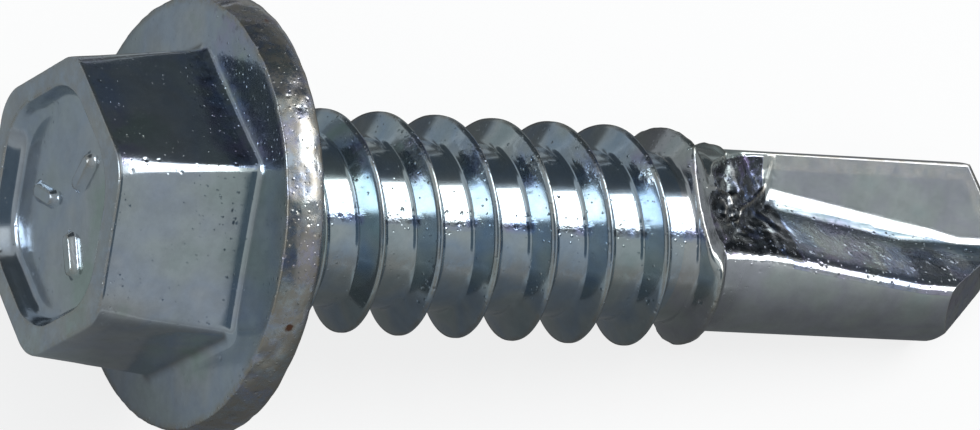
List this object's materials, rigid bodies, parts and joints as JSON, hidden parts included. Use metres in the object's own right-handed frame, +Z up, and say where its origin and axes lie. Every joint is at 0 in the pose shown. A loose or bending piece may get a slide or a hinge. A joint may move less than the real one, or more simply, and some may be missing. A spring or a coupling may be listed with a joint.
{
  "type": "self drilling screw",
  "caption": "Hex washer head self drilling screw with an indented hexagon, a coarse right-hand thread and a fluted drill point, lying at rest.",
  "frame": {"origin": "middle of the base: under the centre of the screw's box, on the plane that it lies on", "axes": "+X towards the drill point, along the floor under the screw's axis; +Z up; the screw's own axis dips 11 degrees towards the point"},
  "size_m": [0.0308, 0.0122, 0.0121],
  "materials": {
    "zinc_plated_steel": "bright zinc plate"
  },
  "bodies": {
    "root": {"screw": "zinc_plated_steel"}
  },
  "joints": []
}
